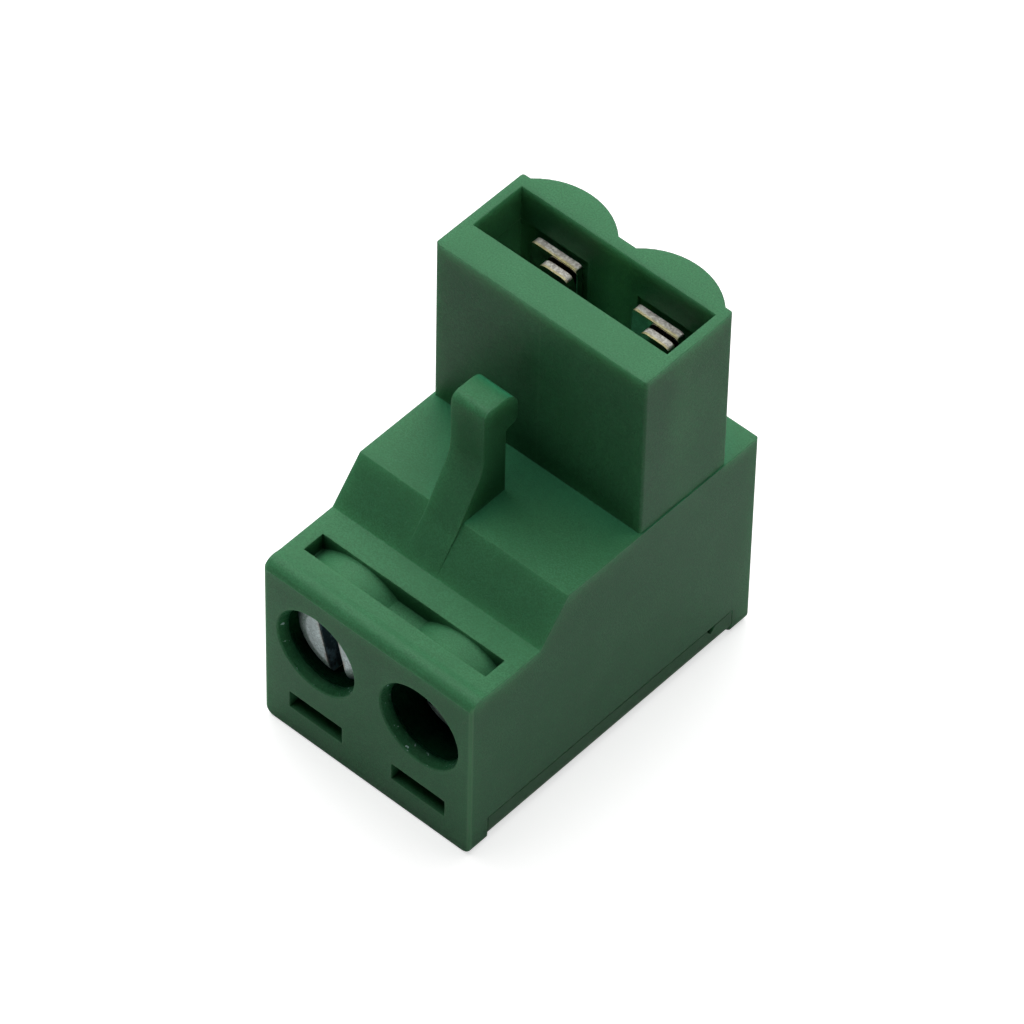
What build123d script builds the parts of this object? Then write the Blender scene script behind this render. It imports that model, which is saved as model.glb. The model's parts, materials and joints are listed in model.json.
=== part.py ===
# Pluggable screw terminal block with two poles, in millimetres.
# It stands on its wire side: +Z is the plug-in direction, the screws face -Y, X runs across the poles.
# The origin is the middle of the bottom of its bounding box.
# Depths are measured from the screw face and heights from the wire side.
from build123d import *
import os

os.makedirs("parts", exist_ok=True)

# Overall sizes
pole_pitch = 5.08
body_depth = 15.5
overall_height = 18.2
pole_side = {"left": -1, "right": 1}

# Outline of the body, seen from the side
ledge_height = 8.36
slope_start = 3.66
slope_run = 1.47
shoulder_height = 10.15
ledge_edge_radius = 0.5
ledge_crest_height = 0.04
ledge_crest_depth = 0.6
ledge_crest_run = 0.25
parting_step_height = 8.06
bottom_edge_radius = 0.4
upright_edge_radius = 0.1

# Mating shell and its coding lobes
rear_ledge_depth = 1.78
shell_depth = 4.67
shell_side_step = 0.05
shell_edge_radius = 0.12
lobe_radius = 3.0
lobe_height = 0.88
rim_front = 1.55
rim_rear = 0.5
rim_side = 0.44
slot_depth = 4.7
common_slot_depth = 1.7
chamber_undercut = 0.12

# Latch finger, moulded on the housing
latch_gap = 1.71
latch_thickness = 1.19
latch_width = 1.6
latch_right_face = 0.0
latch_root_run = 1.15
latch_root_step = 0.08
latch_knee_height = 12.1
latch_top = 15.05
latch_nose_reach = 0.62
latch_nose_bottom = 13.4
latch_root_radius = 1.5
latch_knee_radius = 2.0
latch_brow_radius = 0.4
latch_crown_radius = 0.8
latch_chin_radius = 0.3
latch_neck_radius = 0.2

# Pocket in the ledge, over the screw barrels
pocket_end_wall = 0.64
pocket_start = 1.45
pocket_width = 1.01
pocket_floor = 7.58

# Clamp screws: round slotted heads, a metric thread, held behind the lips of their wells
screw_axis_height = 5.25
thread_diameter = 2.5
head_diameter = 3.6
head_height = 1.6
head_edge_radius = 0.3
driver_slot_width = 0.86
driver_slot_depth = 0.85
screw_tip_chamfer = 0.35
head_recess = {"left": 0.8, "right": 1.7}
driver_slot_turn = {"left": 14.5, "right": -62.0}
well_mouth_diameter = 3.88
well_lip_depth = 0.45
lip_overlap = 0.04
head_clearance = 0.25
barrel_wall = 0.9
barrel_length = 5.0
tip_gap = 0.05

# Walls round the clamping chambers
front_wall = 0.98
rear_wall = 0.98
chamber_divider = 0.88
ceiling_height = 7.8
channel_top = 9.0

# Rising clamp cages
cage_length = 4.4
cage_side_wall = 0.7
cage_floor_wall = 0.8
cage_thread_wall = 1.3
cage_corner_radius = 0.35
cage_clearance = 0.1
wire_space = 2.5
bar_clearance = 0.3
thread_clearance = 0.05
thread_lead_in = 0.2
groove_count = 3
groove_pitch = 1.0
groove_depth = 0.15

# Contacts: a strip folded double under the screw opens into two sprung leaves at the mating slot
sheet_thickness = 0.35
contact_shift = {"left": 0.1, "right": -0.1}
tail_width = 2.0
tail_end_height = 2.75
bend_height = 8.3
bend_radius = 0.5
leaf_shoulder_height = 10.6
leaf_taper = 0.4
leaf_offset = -0.2
rear_leaf_width = 2.25
front_leaf_width = 1.5
rear_leaf_clearance = 0.1
leaf_side_clearance = 0.22
leaf_spread = 0.4
pinch_gap = 0.06
pinch_depth = 2.8
tip_flare = 0.08
rear_leaf_depth = 1.88
front_leaf_depth = 2.1
rear_corner_radius = 0.2
front_corner_radius = 0.4
channel_clearance = 0.25
fold_radius = 0.3

# Wire cover, snapped into the bottom
cover_thickness = 1.35
cover_edge_radius = 0.7
cover_gap = 0.04
funnel_width = 2.6
funnel_depth = 2.4
funnel_flare = 0.5
funnel_corner_radius = 0.5
collar_wall = 0.4
collar_height = 2.6
window_width = 2.62
window_bottom = 1.28
window_top = 2.13
hook_side_clearance = 0.1
hook_thickness = 0.75
hook_height = 2.4
hook_cavity_top = 2.55
catch_reach = 0.45
catch_flat = 0.2
pry_notch_width = 0.5
pry_notch_height = 0.3
pry_notch_depth = 0.15
pry_notch_from_rear = 2.2

# Body and shell
body_width = 2 * pole_pitch
screw_face = -body_depth / 2
slope_end = slope_start + slope_run
crest_top = ledge_height + ledge_crest_height
shell_rear = body_depth - rear_ledge_depth
shell_front = shell_rear - shell_depth
shell_width = body_width - 2 * shell_side_step
slot_front = shell_front + rim_front
slot_rear = shell_rear - rim_rear
slot_width = body_width - 2 * rim_side
latch_rear = shell_front - latch_gap
latch_front = latch_rear - latch_thickness

# Screws and wells
head_radius = head_diameter / 2
thread_radius = thread_diameter / 2
mouth_radius = well_mouth_diameter / 2
throat_radius = head_radius - lip_overlap
bore_radius = head_radius + head_clearance

# Clamping stack, worked out from the rear wall forwards
chamber_width = pole_pitch - chamber_divider
chamber_rear = body_depth - rear_wall
cage_width = chamber_width - 2 * cage_clearance
cage_rear = chamber_rear - cage_clearance
cage_inner_rear = cage_rear - cage_floor_wall
bar_rear = cage_inner_rear - wire_space
bar_front = bar_rear - 2 * sheet_thickness
cage_inner_front = bar_front - bar_clearance
cage_front = cage_inner_front - cage_thread_wall
cage_travel = wire_space - cage_clearance
cage_bottom = screw_axis_height - cage_length / 2
wire_middle = (bar_rear + cage_inner_rear) / 2
screw_length = bar_front - tip_gap - head_recess["right"]

# Cover
plate_front = front_wall + cover_gap
plate_rear = chamber_rear - cover_gap
plate_top = cover_thickness - cover_gap

# Planes through the foot of the screw face: plan, side view and face view
plan = Plane(origin=(0, screw_face, 0))
side_view = Plane(origin=(0, screw_face, 0), x_dir=(0, 1, 0), z_dir=(1, 0, 0))
face_view = Plane(origin=(0, screw_face, 0), x_dir=(1, 0, 0), z_dir=(0, -1, 0))


def pole_x(side):
    return pole_side[side] * pole_pitch / 2


def at_poles(place):
    return [(pole_x(side), place) for side in pole_side]


def screw_axis(side):
    return Axis((pole_x(side), screw_face, screw_axis_height), (0, 1, 0))


# Housing: body, mating shell, lobes and latch are one moulding
with BuildPart() as housing:
    with BuildSketch(side_view.offset(-body_width / 2)):
        with BuildLine():
            Polyline(
                (0, 0),
                (body_depth, 0),
                (body_depth, shoulder_height),
                (slope_end, shoulder_height),
                (slope_start, ledge_height),
                (ledge_crest_depth + ledge_crest_run, ledge_height),
                (ledge_crest_depth, crest_top),
                (0, crest_top),
                close=True,
            )
        make_face()
    extrude(amount=body_width)
    ledge_edge = housing.edges().filter_by(Axis.X).group_by(Axis.Y)[0].sort_by(Axis.Z)[-1]
    fillet(ledge_edge, radius=ledge_edge_radius)

    # Step at the mould's parting line, where the screw face stands a little proud of the rounded edge
    with BuildSketch(side_view.offset(-body_width / 2)):
        with BuildLine():
            Polyline(
                (0, parting_step_height - ledge_edge_radius),
                (ledge_edge_radius, parting_step_height - ledge_edge_radius),
                (ledge_edge_radius, parting_step_height),
                (0, parting_step_height),
                close=True,
            )
        make_face()
    extrude(amount=body_width)
    fillet(housing.edges().filter_by(Axis.Y).group_by(Axis.Z)[0], radius=bottom_edge_radius)
    uprights = housing.edges().filter_by(Axis.Z).group_by(Axis.Y)
    fillet(uprights[0] + uprights[-1], radius=upright_edge_radius)

    # Mating shell, with two coding lobes along its rear wall
    shell_height = overall_height - shoulder_height
    with BuildSketch(plan.offset(shoulder_height)):
        with Locations((0, (shell_front + shell_rear) / 2)):
            RectangleRounded(shell_width, shell_depth, shell_edge_radius)
    extrude(amount=shell_height)
    with BuildSketch(plan.offset(shoulder_height)):
        with Locations(*at_poles(shell_rear + lobe_height - lobe_radius)):
            Circle(lobe_radius)
        with Locations((0, shell_rear)):
            Rectangle(shell_width, 2 * lobe_height, mode=Mode.INTERSECT)
    extrude(amount=shell_height)

    # Latch finger: it leaves the slope, bends upright at its knee and ends in a rounded nose
    slope_rise = shoulder_height - ledge_height
    latch_root = (
        slope_start + latch_root_run - latch_root_step,
        ledge_height + latch_root_run * slope_rise / slope_run,
    )
    with BuildSketch(side_view.offset(latch_right_face - latch_width)):
        with BuildLine():
            finger = FilletPolyline(
                (slope_start, ledge_height),
                latch_root,
                (latch_front, latch_knee_height),
                (latch_front, latch_top),
                (latch_rear + latch_nose_reach, latch_top),
                (latch_rear + latch_nose_reach, latch_nose_bottom),
                (latch_rear, latch_nose_bottom),
                (latch_rear, ledge_height),
                radius=[
                    latch_root_radius,
                    latch_knee_radius,
                    latch_brow_radius,
                    latch_crown_radius,
                    latch_chin_radius,
                    latch_neck_radius,
                ],
            )
            Line(finger @ 1, finger @ 0)
        make_face()
    extrude(amount=latch_width)

    # Screw wells: the lip at the mouth holds the screw's head in its bore
    flare = bore_radius - throat_radius
    for side in pole_side:
        middle = pole_x(side)
        with BuildSketch(plan.offset(screw_axis_height)):
            with BuildLine():
                Polyline(
                    (middle, 0),
                    (middle + mouth_radius, 0),
                    (middle + throat_radius, well_lip_depth),
                    (middle + bore_radius, well_lip_depth + flare),
                    (middle + bore_radius, barrel_length),
                    (middle, barrel_length),
                    close=True,
                )
            make_face()
        revolve(axis=screw_axis(side), mode=Mode.SUBTRACT)

    # Seat of the wire cover, then the clamping chambers and the hook cavities under the barrels
    with BuildSketch(plan):
        with Locations((0, (front_wall + chamber_rear) / 2)):
            Rectangle(body_width, chamber_rear - front_wall)
    extrude(amount=cover_thickness, mode=Mode.SUBTRACT)
    with BuildSketch(plan.offset(cover_thickness)):
        with Locations(*at_poles((barrel_length + chamber_rear) / 2)):
            Rectangle(chamber_width, chamber_rear - barrel_length)
    extrude(amount=ceiling_height - cover_thickness, mode=Mode.SUBTRACT)
    with BuildSketch(plan.offset(cover_thickness)):
        with Locations(*at_poles((front_wall + barrel_length) / 2)):
            Rectangle(chamber_width, barrel_length - front_wall)
    extrude(amount=hook_cavity_top - cover_thickness, mode=Mode.SUBTRACT)

    # Mating slot, a deeper chamber for each pole, and the channels that let the contacts in from below
    slot_middle = (slot_front + slot_rear) / 2
    with BuildSketch(plan.offset(overall_height)):
        with Locations((0, slot_middle)):
            Rectangle(slot_width, slot_rear - slot_front)
    extrude(amount=-slot_depth, mode=Mode.SUBTRACT)
    channel_width = tail_width + 2 * channel_clearance
    channel_front = bar_front - channel_clearance
    leaf_room = rear_leaf_width / 2 + leaf_side_clearance
    for side in pole_side:
        inner_side = pole_x(side) + leaf_offset - pole_side[side] * leaf_room
        outer_side = pole_side[side] * (slot_width / 2 + chamber_undercut)
        with BuildSketch(plan.offset(channel_top)):
            with Locations(((inner_side + outer_side) / 2, slot_middle)):
                Rectangle(abs(outer_side - inner_side), slot_rear - slot_front + 2 * chamber_undercut)
        extrude(amount=overall_height - common_slot_depth - channel_top, mode=Mode.SUBTRACT)
        with BuildSketch(plan.offset(ceiling_height)):
            with Locations((pole_x(side), (channel_front + slot_rear) / 2)):
                Rectangle(channel_width, slot_rear - channel_front)
        extrude(amount=channel_top - ceiling_height, mode=Mode.SUBTRACT)

    # Pocket in the ledge, whose floor is the tops of the two screw barrels
    with BuildSketch(face_view.offset(-pocket_start)):
        with Locations((0, (pocket_floor + ledge_height) / 2)):
            Rectangle(body_width - 2 * pocket_end_wall, ledge_height - pocket_floor)
        with Locations(*at_poles(screw_axis_height)):
            Circle(bore_radius + barrel_wall, mode=Mode.SUBTRACT)
    extrude(amount=-pocket_width, mode=Mode.SUBTRACT)

    # Windows for the hooks of the wire cover, in the front and rear walls
    for wall_start, wall in ((0, front_wall), (chamber_rear, rear_wall)):
        with BuildSketch(face_view.offset(-wall_start)):
            with Locations(*at_poles((window_bottom + window_top) / 2)):
                Rectangle(window_width, window_top - window_bottom)
        extrude(amount=-wall, mode=Mode.SUBTRACT)

housing.part.label = "housing"
export_step(housing.part, "parts/housing.step")


# Wire cover: a plate with a wire funnel and a collar for each pole, and snap hooks front and rear
def hook_outline(wall_face, inward):
    """Points of a hook's side view beside the wall face, with its catch turned away from inward."""
    back = wall_face + inward * cover_gap
    catch = back - inward * catch_reach
    return [
        (back, plate_top / 2),
        (back, window_bottom + cover_gap),
        (catch, window_bottom + cover_gap),
        (catch, window_bottom + cover_gap + catch_flat),
        (back, window_top - cover_gap),
        (back, hook_height),
        (back + inward * hook_thickness, hook_height),
        (back + inward * hook_thickness, plate_top / 2),
    ]


with BuildPart() as wire_cover:
    with BuildSketch(plan):
        with Locations((0, (plate_front + plate_rear) / 2)):
            Rectangle(body_width, plate_rear - plate_front)
    extrude(amount=plate_top)
    fillet(wire_cover.edges().filter_by(Axis.Y).group_by(Axis.Z)[0], radius=cover_edge_radius)

    with BuildSketch(plan.offset(plate_top)):
        with Locations(*at_poles(wire_middle)):
            RectangleRounded(
                funnel_width + 2 * collar_wall,
                funnel_depth + 2 * collar_wall,
                funnel_corner_radius,
            )
    extrude(amount=collar_height - plate_top)

    hook_width = window_width - 2 * hook_side_clearance
    for side in pole_side:
        for wall_face, inward in ((front_wall, 1), (chamber_rear, -1)):
            with BuildSketch(side_view.offset(pole_x(side) - hook_width / 2)):
                with BuildLine():
                    Polyline(*hook_outline(wall_face, inward), close=True)
                make_face()
            extrude(amount=hook_width)

    for side in pole_side:
        for height, flare in ((0, funnel_flare), (plate_top, 0)):
            with BuildSketch(plan.offset(height)):
                with Locations((pole_x(side), wire_middle)):
                    RectangleRounded(funnel_width + 2 * flare, funnel_depth + 2 * flare, funnel_corner_radius)
        loft(mode=Mode.SUBTRACT)
    with BuildSketch(plan.offset(plate_top)):
        with Locations(*at_poles(wire_middle)):
            RectangleRounded(funnel_width, funnel_depth, funnel_corner_radius)
    extrude(amount=collar_height - plate_top, mode=Mode.SUBTRACT)

    # Pry notches in the upper edge of the plate, one at each side
    notch_middle = body_depth - pry_notch_from_rear
    for side in pole_side:
        with BuildSketch(side_view.offset(pole_side[side] * body_width / 2)):
            with BuildLine():
                Polyline(
                    (notch_middle - pry_notch_width / 2, plate_top),
                    (notch_middle, plate_top - pry_notch_height),
                    (notch_middle + pry_notch_width / 2, plate_top),
                    close=True,
                )
            make_face()
        extrude(amount=-pole_side[side] * pry_notch_depth, mode=Mode.SUBTRACT)

wire_cover.part.label = "wire_cover"
export_step(wire_cover.part, "parts/wire_cover.step")


# Contacts: each layer is bent in the side view and cut to its outline in the face view
def contact_layer(side, bends, leaf_left, leaf_right, tip_height, corner_radius):
    middle = pole_x(side) + contact_shift[side]
    with BuildPart() as layer:
        with BuildSketch(side_view.offset(middle - pole_pitch / 2)):
            with BuildLine():
                FilletPolyline(*bends, radius=bend_radius)
            trace(line_width=sheet_thickness)
        extrude(amount=pole_pitch)
        with BuildSketch(face_view) as outline:
            with BuildLine():
                Polyline(
                    (middle - tail_width / 2, tail_end_height),
                    (middle + tail_width / 2, tail_end_height),
                    (middle + tail_width / 2, leaf_shoulder_height),
                    (middle + leaf_right, leaf_shoulder_height + leaf_taper),
                    (middle + leaf_right, tip_height),
                    (middle + leaf_left, tip_height),
                    (middle + leaf_left, leaf_shoulder_height + leaf_taper),
                    (middle - tail_width / 2, leaf_shoulder_height),
                    close=True,
                )
            make_face()
            fillet(outline.vertices().group_by(Axis.Y)[-1], radius=corner_radius)
        extrude(amount=-body_depth, mode=Mode.INTERSECT)
    return layer.part


rear_mid = slot_rear - rear_leaf_clearance - sheet_thickness / 2
front_mid = rear_mid - sheet_thickness - leaf_spread
pinch_mid = rear_mid - sheet_thickness - pinch_gap
rear_tail = bar_rear - sheet_thickness / 2
front_tail = bar_front + sheet_thickness / 2
rear_tip = overall_height - rear_leaf_depth
front_tip = overall_height - front_leaf_depth
rear_bends = [
    (rear_tail, tail_end_height),
    (rear_tail, bend_height),
    (rear_mid, bend_height + rear_mid - rear_tail),
    (rear_mid, rear_tip),
]
front_bends = [
    (front_tail, tail_end_height),
    (front_tail, bend_height),
    (front_mid, bend_height + front_mid - front_tail),
    (pinch_mid, overall_height - pinch_depth),
    (pinch_mid - tip_flare, front_tip + sheet_thickness),
]
leaf_left = leaf_offset - rear_leaf_width / 2
leaf_right = leaf_offset + rear_leaf_width / 2
front_left = leaf_right - front_leaf_width
for side in pole_side:
    with BuildPart() as contact:
        add(contact_layer(side, rear_bends, leaf_left, leaf_right, rear_tip, rear_corner_radius))
        add(contact_layer(side, front_bends, front_left, leaf_right, front_tip, front_corner_radius))
        fillet(contact.edges().filter_by(Axis.X).group_by(Axis.Z)[0], radius=fold_radius)
    contact.part.label = "contact_" + side
    export_step(contact.part, "parts/" + contact.part.label + ".step")


# Clamp cages: a frame round the bar, with the thread in its front wall and grooves where it grips
for side in pole_side:
    with BuildPart() as cage:
        with BuildSketch(plan.offset(cage_bottom)):
            with Locations((pole_x(side), (cage_front + cage_rear) / 2)):
                RectangleRounded(cage_width, cage_rear - cage_front, cage_corner_radius)
            with Locations((pole_x(side), (cage_inner_front + cage_inner_rear) / 2)):
                Rectangle(
                    cage_width - 2 * cage_side_wall,
                    cage_inner_rear - cage_inner_front,
                    mode=Mode.SUBTRACT,
                )
        extrude(amount=cage_length)
        with BuildSketch(face_view.offset(-cage_front)):
            with Locations((pole_x(side), screw_axis_height)):
                Circle(thread_radius + thread_clearance)
        extrude(amount=-cage_thread_wall, mode=Mode.SUBTRACT)
        chamfer(cage.edges().filter_by(GeomType.CIRCLE).group_by(Axis.Y)[0], length=thread_lead_in)
        with BuildSketch(side_view.offset(pole_x(side) - cage_width / 2 + cage_side_wall)):
            for index in range(groove_count):
                groove_height = screw_axis_height + (index - (groove_count - 1) / 2) * groove_pitch
                with BuildLine():
                    Polyline(
                        (cage_inner_rear, groove_height - groove_depth),
                        (cage_inner_rear + groove_depth, groove_height),
                        (cage_inner_rear, groove_height + groove_depth),
                        close=True,
                    )
                make_face()
        extrude(amount=cage_width - 2 * cage_side_wall, mode=Mode.SUBTRACT)
    cage.part.label = "clamp_cage_" + side
    export_step(cage.part, "parts/" + cage.part.label + ".step")


# Clamp screws: round slotted head, plain stem of the thread's size, bevelled tip
for side in pole_side:
    middle = pole_x(side)
    face = head_recess[side]
    with BuildPart() as screw:
        with BuildSketch(plan.offset(screw_axis_height)):
            with BuildLine():
                Polyline(
                    (middle, face),
                    (middle + head_radius, face),
                    (middle + head_radius, face + head_height),
                    (middle + thread_radius, face + head_height),
                    (middle + thread_radius, face + screw_length - screw_tip_chamfer),
                    (middle + thread_radius - screw_tip_chamfer, face + screw_length),
                    (middle, face + screw_length),
                    close=True,
                )
            make_face()
        revolve(axis=screw_axis(side))
        fillet(screw.edges().filter_by(GeomType.CIRCLE).group_by(Axis.Y)[0], radius=head_edge_radius)
        with BuildSketch(face_view.offset(-face)):
            with Locations((middle, screw_axis_height)):
                Rectangle(driver_slot_width, head_diameter, rotation=driver_slot_turn[side])
        extrude(amount=-driver_slot_depth, mode=Mode.SUBTRACT)
    screw.part.label = "clamp_screw_" + side
    export_step(screw.part, "parts/" + screw.part.label + ".step")

print("cage travel", round(cage_travel, 3))
print("cage depth from", round(cage_front, 3), "to", round(cage_rear, 3))
print("contact bar depth from", round(bar_front, 3), "to", round(bar_rear, 3))
print("screw length", round(screw_length, 3))
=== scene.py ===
# %% [markdown]
# # A pluggable screw terminal block
#
# This small green plug carries two wires to a circuit board. The construction model gives every solid its
# size and place: the moulded housing, the wire cover, two sprung contacts, two clamp cages and two screws.
# Here it gets its looks: moulded plastic with fine grain, plated metal, real screw threads, and soft light.
# All sizes are in metres, in the same frame as the construction model.

# %% Load the frame
import json
from math import cos, pi, radians, sin, tan

import bmesh
import bpy
from mathutils import Matrix, Vector


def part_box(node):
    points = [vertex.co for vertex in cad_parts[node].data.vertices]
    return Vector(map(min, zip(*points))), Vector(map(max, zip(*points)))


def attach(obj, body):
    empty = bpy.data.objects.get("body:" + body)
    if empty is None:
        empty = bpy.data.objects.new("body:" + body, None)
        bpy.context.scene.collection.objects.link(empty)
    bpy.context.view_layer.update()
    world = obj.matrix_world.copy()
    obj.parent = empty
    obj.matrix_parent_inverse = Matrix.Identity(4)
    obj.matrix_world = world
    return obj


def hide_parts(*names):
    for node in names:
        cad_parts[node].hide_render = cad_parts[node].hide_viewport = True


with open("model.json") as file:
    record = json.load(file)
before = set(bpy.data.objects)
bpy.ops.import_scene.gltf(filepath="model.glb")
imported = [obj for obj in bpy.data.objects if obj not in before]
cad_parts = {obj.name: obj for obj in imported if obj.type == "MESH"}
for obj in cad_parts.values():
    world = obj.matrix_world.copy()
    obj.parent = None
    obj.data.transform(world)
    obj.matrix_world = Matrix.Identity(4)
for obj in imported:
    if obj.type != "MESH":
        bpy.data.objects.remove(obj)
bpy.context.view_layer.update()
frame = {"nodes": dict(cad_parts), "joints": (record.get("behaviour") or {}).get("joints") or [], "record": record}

MM = 0.001
print("nodes", sorted(frame["nodes"]))

# %% [markdown]
# The places that the later steps need are read from the frame, so that nothing has to be fitted by eye.
# Each screw turns about its hinge, and the height of that hinge is the middle of the round well. Depths
# are measured from the screw face, which is the front of the housing.

# %% Places on the part
POLES = ("left", "right")
joints = {joint["name"]: joint for joint in frame["joints"]}
housing_low, housing_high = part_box("housing")
screw_face = housing_low.y
screw_axis = {side: Vector(joints[f"screw_{side}_turn"]["pos_m"]) for side in POLES}
print("screw face at", round(screw_face / MM, 3), "mm")
print("screw axes", {side: tuple(round(v / MM, 2) for v in axis) for side, axis in screw_axis.items()})

# %% [markdown]
# The photograph is taken from above, to the right of the screws, with a long lens. Three angles say which
# way the camera looks, and its place and its lens say how large the part is seen and how strongly near
# things look larger. The straight edges of the housing fix all of them. The camera's own axes are worked
# out from the angles, which keeps the script free of a tracking constraint.

# %% Camera
CAMERA_AZIMUTH = radians(41.12)
CAMERA_ELEVATION = radians(48.62)
CAMERA_ROLL = radians(1.28)
CAMERA_PLACE = Vector((124.484, -142.582, 223.419)) * MM
CAMERA_LENS = 277.2
FILM_WIDTH = 36
NEAREST_SEEN = 10 * MM


def camera_axes(azimuth, elevation, roll):
    """Returns the camera's right, up and backward directions as the rows of a matrix."""
    backward = Vector((sin(azimuth) * cos(elevation), -cos(azimuth) * cos(elevation), sin(elevation)))
    level = Vector((cos(azimuth), sin(azimuth), 0))
    upright = backward.cross(level)
    right = cos(roll) * level + sin(roll) * upright
    up = cos(roll) * upright - sin(roll) * level
    return Matrix((right, up, backward))


camera_data = bpy.data.cameras.new("camera")
camera_data.lens = CAMERA_LENS
camera_data.sensor_width = FILM_WIDTH
camera_data.clip_start = NEAREST_SEEN
camera = bpy.data.objects.new("camera", camera_data)
bpy.context.scene.collection.objects.link(camera)
facing = camera_axes(CAMERA_AZIMUTH, CAMERA_ELEVATION, CAMERA_ROLL).transposed().to_4x4()
camera.matrix_world = Matrix.Translation(CAMERA_PLACE) @ facing
bpy.context.scene.camera = camera
bpy.context.scene.view_settings.view_transform = "Standard"
print("camera stands", round(CAMERA_PLACE.length / MM), "mm from the part")

# %% [markdown]
# A shader is a small network of nodes, and most of its nodes do sums. Short helpers keep each network
# readable. One adds a node and fills its sockets with numbers or with links from other nodes. The others
# are the sums that come back most: a product, the larger of some values, a difference, what is left of one,
# and a value without its sign.

# %% Nodes and sums


def fill(tree, node, sockets):
    """Fills sockets of a node. Each value is a number, a colour or another node's output."""
    for name, value in sockets.items():
        if isinstance(value, bpy.types.NodeSocket):
            tree.links.new(value, node.inputs[name])
        else:
            node.inputs[name].default_value = value


def add_node(tree, kind, sockets=None, **settings):
    """Adds a node of that kind, with its settings and with filled sockets."""
    made = tree.nodes.new("ShaderNode" + kind)
    for name, value in settings.items():
        setattr(made, name, value)
    fill(tree, made, sockets or {})
    return made


def sum_of(tree, operation, first, second=0.0):
    """Does one sum on sockets or numbers and returns its output."""
    return add_node(tree, "Math", {0: first, 1: second}, operation=operation).outputs[0]


def times(tree, first, *others):
    """The product of all the values."""
    for other in others:
        first = sum_of(tree, "MULTIPLY", first, other)
    return first


def larger(tree, first, *others):
    """The largest of all the values."""
    for other in others:
        first = sum_of(tree, "MAXIMUM", first, other)
    return first


def minus(tree, first, second):
    """The first value less the second."""
    return sum_of(tree, "SUBTRACT", first, second)


def opposite(tree, mask):
    """A mask that is 1 where the given one is 0, and 0 where it is 1."""
    return minus(tree, 1.0, mask)


def unsigned(tree, value):
    """The value without its sign."""
    return sum_of(tree, "ABSOLUTE", value)


print("sums", [helper.__name__ for helper in (times, larger, minus, opposite, unsigned)])

# %% [markdown]
# A mask is a value from nought to one that says where something is. It is made from any other value, and
# runs softly between two limits. A mask then mixes two numbers or two colours, and a plain spread turns a
# pattern into a range of roughness. Blender's Mix node has its colour sockets behind the ones for numbers
# and vectors, under the same names, so they are reached by their places in the row.

# %% Masks and mixes
MIX_COLOUR_0 = 6
MIX_COLOUR_1 = 7
MIX_COLOUR_RESULT = 2


def mask_between(tree, value, low, high):
    """A mask that is 0 where the value is at low and 1 where it is at high."""
    sockets = {"Value": value, "From Min": low, "From Max": high}
    return add_node(tree, "MapRange", sockets, interpolation_type="SMOOTHSTEP").outputs["Result"]


def spread(tree, value, lowest, highest):
    """Spreads a value between 0 and 1 over the range from lowest to highest."""
    sockets = {"Value": value, "To Min": lowest, "To Max": highest}
    return add_node(tree, "MapRange", sockets).outputs["Result"]


def blend(tree, mask, where_0, where_1):
    """Mixes two numbers by a mask."""
    return add_node(tree, "Mix", {"Factor": mask, "A": where_0, "B": where_1}).outputs[0]


def blend_colours(tree, mask, where_0, where_1):
    """Mixes two colours by a mask."""
    sockets = {"Factor": mask, MIX_COLOUR_0: where_0, MIX_COLOUR_1: where_1}
    return add_node(tree, "Mix", sockets, data_type="RGBA").outputs[MIX_COLOUR_RESULT]


print("mixes", blend.__name__, blend_colours.__name__)

# %% [markdown]
# Patterns are made from the surface point in the part's own frame, in millimetres, so that a grain keeps
# its real size and stays on its piece when the piece moves. All patterns here are one cloudy noise, at
# different sizes: fine for grain and pits, coarse for clouds in the plastic and bloom on the metal.

# %% Patterns of a real size


def places_in_mm(tree):
    """The surface point in the part's own frame, in millimetres."""
    own = add_node(tree, "TexCoord").outputs["Object"]
    return add_node(tree, "VectorMath", {0: own, "Scale": 1 / MM}, operation="SCALE").outputs["Vector"]


def split(tree, vector):
    """The X, Y and Z of a vector."""
    return add_node(tree, "SeparateXYZ", {"Vector": vector}).outputs


def noise(tree, places, grains_per_mm, detail=2.0, roughness=0.5):
    """Cloudy noise whose grains have that many to the millimetre."""
    sockets = {"Vector": places, "Scale": grains_per_mm, "Detail": detail, "Roughness": roughness}
    return add_node(tree, "TexNoise", sockets).outputs["Fac"]


def patches(tree, places, grains_per_mm, low, high, detail=2.0, roughness=0.5):
    """A mask of cloudy patches: 0 where the noise is at low and 1 where it is at high."""
    return mask_between(tree, noise(tree, places, grains_per_mm, detail, roughness), low, high)


print("a pattern is scaled by", 1 / MM)

# %% [markdown]
# Real parts have no edge of nought radius, and light tells their edges from their faces. A Bevel node
# rounds each edge in the shading alone. Ambient occlusion looks for walls near the surface point: from
# inside the solid it finds the sharp outer edges, and from outside it tells open faces from hollows. It
# looks at one piece only, so the colours of a piece stay as they are while another piece moves.

# %% Edges, hollows and relief
EDGE_RANGE = (0.95, 0.55)
LEVEL_RANGE = (0.5, 0.85)


def rounded_edges(tree, radius):
    """A normal that rounds every sharp edge by that radius."""
    return add_node(tree, "Bevel", {"Radius": radius}, samples=4).outputs["Normal"]


def outer_edges(tree, width):
    """A mask that is 1 at the sharp outer edges and runs out to 0 at that distance from them."""
    inside = add_node(tree, "AmbientOcclusion", {"Distance": width}, samples=4, inside=True, only_local=True)
    return mask_between(tree, inside.outputs["AO"], *EDGE_RANGE)


def openness(tree, reach):
    """The share of the view that is free of walls within that reach: 1 on open faces, 0 in deep holes."""
    return add_node(tree, "AmbientOcclusion", {"Distance": reach}, samples=6, only_local=True).outputs["AO"]


def faces_up(tree):
    """A mask that is 1 where the piece's own surface faces up."""
    own = add_node(tree, "TexCoord").outputs["Normal"]
    return mask_between(tree, split(tree, own)["Z"], *LEVEL_RANGE)


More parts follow.
